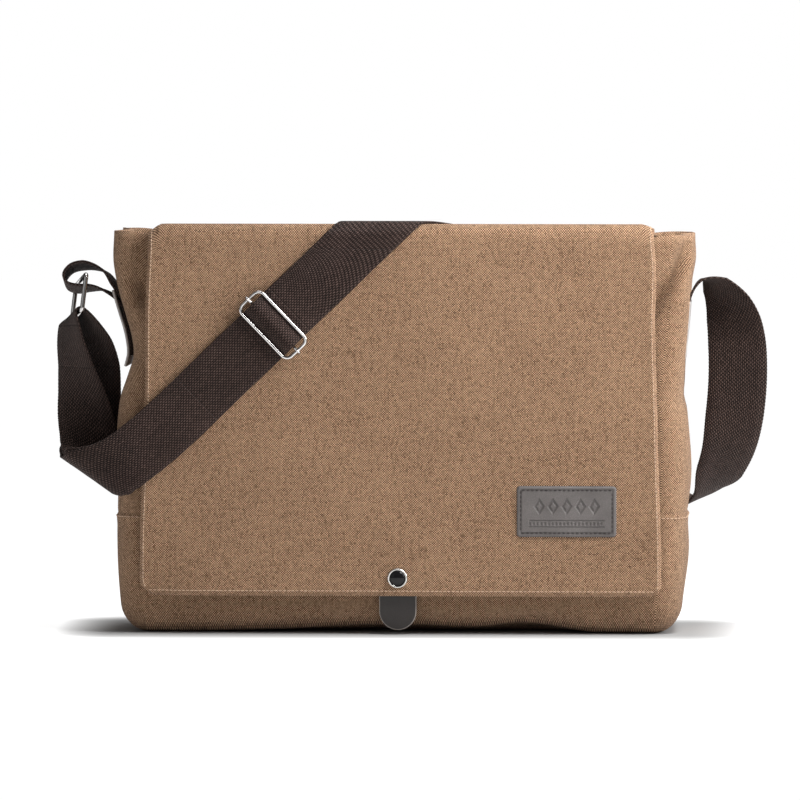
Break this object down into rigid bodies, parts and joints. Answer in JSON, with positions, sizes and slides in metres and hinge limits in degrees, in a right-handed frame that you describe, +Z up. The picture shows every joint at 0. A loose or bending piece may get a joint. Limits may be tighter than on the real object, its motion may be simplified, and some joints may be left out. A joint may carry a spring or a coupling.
{
  "type": "messenger bag",
  "caption": "Canvas messenger bag with a drop-front flap, snap tab, leather patch, rectangular ring, wire slider and a long webbing shoulder strap laid over the flap",
  "frame": {"origin": "the point of the floor under the middle of the bag's body", "axes": "+Z up, +X along the bag's width, the flap and front face -Y"},
  "size_m": [0.4594, 0.1505, 0.2614],
  "materials": {
    "canvas": "heathered tan-brown plain-weave canvas",
    "lining": "dark smooth lining cloth",
    "board": "grey stiffener board",
    "leather": "smooth grey-brown leather, fine grain",
    "webbing": "dark brown coarse woven webbing",
    "wire_metal": "polished black-nickel wire",
    "snap_metal": "polished nickel",
    "cap_black": "black gloss enamel dome"
  },
  "bodies": {
    "bag": {"front_panel": "canvas", "back_panel": "canvas", "left_gusset": "canvas", "right_gusset": "canvas", "base_strip": "canvas", "base_board": "board", "lining": "lining", "mouth_facing": "canvas", "inner_pocket": "lining", "front_pocket": "canvas", "flap_back_strip": "canvas", "snap_stud": "snap_metal", "stud_washer": "snap_metal", "left_loop": "webbing", "left_leather": "leather", "right_leather": "leather", "strap_right_run": "webbing", "strap_back_run": "webbing", "strap_outer_rise": "webbing", "strap_inner_rise": "webbing"},
    "flap_top": {"flap_top_panel": "canvas", "flap_top_lining": "lining", "strap_top_run": "webbing"},
    "flap_front": {"flap_front_panel": "canvas", "flap_front_lining": "lining", "label_patch": "leather", "snap_cap": "snap_metal", "snap_dome": "cap_black", "snap_post": "snap_metal", "snap_socket": "snap_metal", "snap_tab": "leather", "strap_front_run": "webbing", "strap_lower_run": "webbing", "strap_outer_loop": "webbing", "strap_inner_loop": "webbing", "strap_inner_run": "webbing"},
    "slider": {"slider_frame": "wire_metal", "strap_slider_hump": "webbing"},
    "slider_bar": {"slider_bar": "wire_metal", "strap_bar_wrap": "webbing"},
    "left_ring": {"left_ring": "wire_metal", "strap_ring_pass": "webbing"}
  },
  "joints": [
    {"name": "flap_lift", "type": "hinge", "parent": "bag", "child": "flap_top", "pos_m": [0, 0.0462, 0.2573], "axis": [-1, 0, 0], "range_deg": [0, 150], "deforming": ["strap_top_run", "strap_back_run", "strap_outer_rise", "strap_inner_rise"]},
    {"name": "flap_drop", "type": "hinge", "parent": "flap_top", "child": "flap_front", "pos_m": [0, -0.0512, 0.2573], "axis": [-1, 0, 0], "range_deg": [0, 100], "deforming": ["strap_front_run", "strap_lower_run", "strap_outer_loop", "strap_inner_loop"]},
    {"name": "slider_slide", "type": "slide", "parent": "flap_front", "child": "slider", "axis": [0.72, 0, 0.694], "range_m": [-0.025, 0.025], "deforming": ["strap_slider_hump", "strap_inner_run"]},
    {"name": "slider_bar_travel", "type": "slide", "parent": "slider", "child": "slider_bar", "axis": [0.72, 0, 0.694], "range_m": [-0.0015, 0.0015], "deforming": ["strap_bar_wrap"]},
    {"name": "ring_swing", "type": "hinge", "parent": "bag", "child": "left_ring", "pos_m": [-0.2091, -0.0024, 0.2249], "axis": [-0.2353, 0.9511, -0.2002], "range_deg": [-20, 20], "deforming": ["strap_ring_pass"]}
  ]
}
